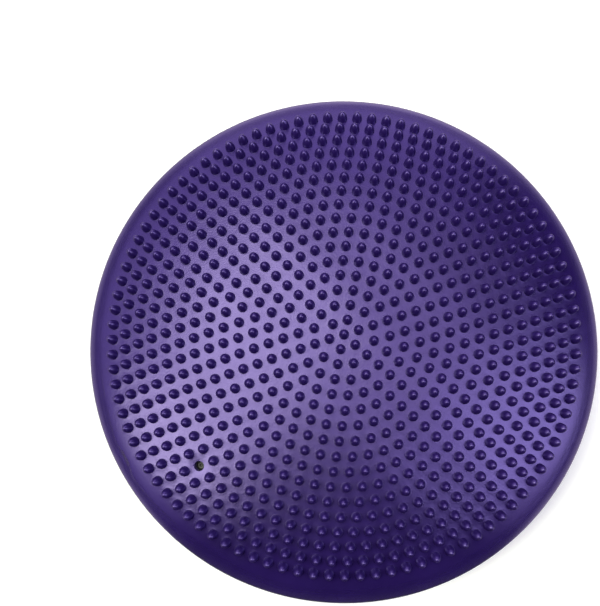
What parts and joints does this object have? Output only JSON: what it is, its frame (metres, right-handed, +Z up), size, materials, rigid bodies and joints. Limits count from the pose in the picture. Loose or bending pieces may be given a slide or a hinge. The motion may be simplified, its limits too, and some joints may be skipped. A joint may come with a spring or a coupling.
{
  "type": "inflatable balance pad",
  "caption": "Round inflatable balance pad with a nubbed domed top, a smooth rim roll, a rounded underside and a needle valve; it yields and rocks under the feet.",
  "frame": {"origin": "middle of the flat resting patch on the underside", "axes": "+Z up through the crown of the pad; the needle valve lies in the quarter towards -X and -Y"},
  "size_m": [0.33, 0.33, 0.0804],
  "materials": {
    "pvc_skin": "satin, fine-grained soft PVC in violet",
    "weld_bead": "fused PVC, a little darker than the skins",
    "black_rubber": "matt",
    "grey_rubber": "matt, slightly green"
  },
  "bodies": {
    "base": {"lower_skin": "pvc_skin", "lower_weld_bead": "weld_bead", "rim_band": "pvc_skin", "upper_weld_bead": "weld_bead"},
    "top_face": {"upper_skin": "pvc_skin", "valve_boss": "pvc_skin", "valve_body": "black_rubber", "valve_core": "grey_rubber"}
  },
  "joints": [
    {"name": "face_press", "type": "slide", "parent": "base", "child": "top_face", "axis": [0, 0, -1], "range_m": [0, 0.014], "stiffness_N_per_m": 40000, "deforming": ["rim_band"]}
  ]
}
